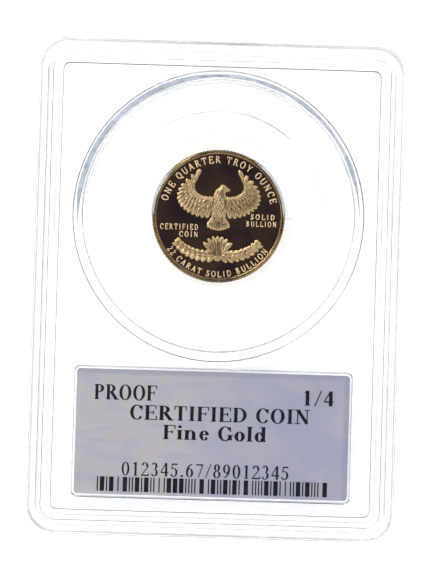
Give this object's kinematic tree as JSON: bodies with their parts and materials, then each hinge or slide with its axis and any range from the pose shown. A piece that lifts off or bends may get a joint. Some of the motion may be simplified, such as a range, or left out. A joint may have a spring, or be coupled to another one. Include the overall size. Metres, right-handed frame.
{
  "type": "coin slab",
  "caption": "Sealed clear plastic holder that shows a small gold coin in a soft centring ring above a printed insert, with a stacking ridge in front and a matching recess behind.",
  "frame": {"origin": "middle of the plane that the rear foot ring stands on", "axes": "+X across the slab to the right as seen from the front, +Y up the slab towards the coin end, +Z out of the front face"},
  "size_m": [0.0604, 0.0816, 0.007],
  "materials": {
    "clear_shell": "clear polished polystyrene",
    "soft_ring": "clear soft plastic",
    "gold": "mirror fields with frosted relief",
    "card": "printed card",
    "foil": "embossed metallic foil"
  },
  "bodies": {
    "root": {"front_shell": "clear_shell", "rear_shell": "clear_shell", "coin_ring": "soft_ring", "coin": "gold", "label_card": "card", "hologram_foil": "foil"}
  },
  "joints": []
}
